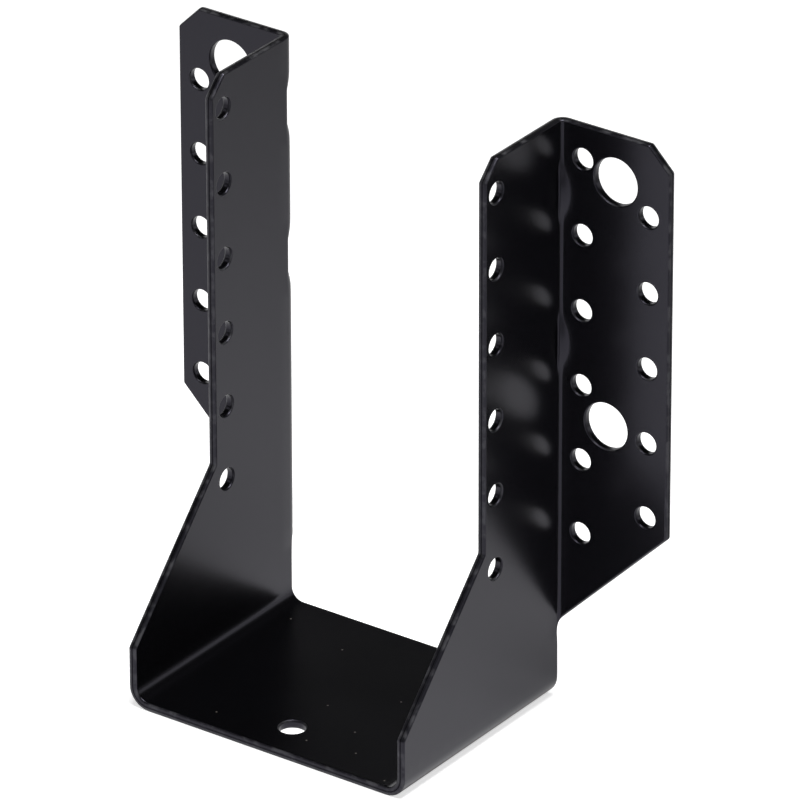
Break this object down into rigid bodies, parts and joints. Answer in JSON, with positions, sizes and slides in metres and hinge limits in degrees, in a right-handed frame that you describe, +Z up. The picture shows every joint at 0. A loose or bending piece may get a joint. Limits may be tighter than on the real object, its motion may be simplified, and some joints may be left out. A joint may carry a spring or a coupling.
{
  "type": "joist hanger",
  "caption": "Joist hanger folded from black-coated steel sheet: a seat for a joist, a leg up each side, and outward flanges to fix to a header.",
  "frame": {"origin": "middle of the overall width and depth, at the underside of the seat", "axes": "+X across the joist, +Y toward the header that the flanges fix to, +Z up"},
  "size_m": [0.13, 0.06, 0.14],
  "materials": {
    "black_coat": "smooth semi-gloss black powder coat"
  },
  "bodies": {
    "root": {"hanger": "black_coat"}
  },
  "joints": []
}
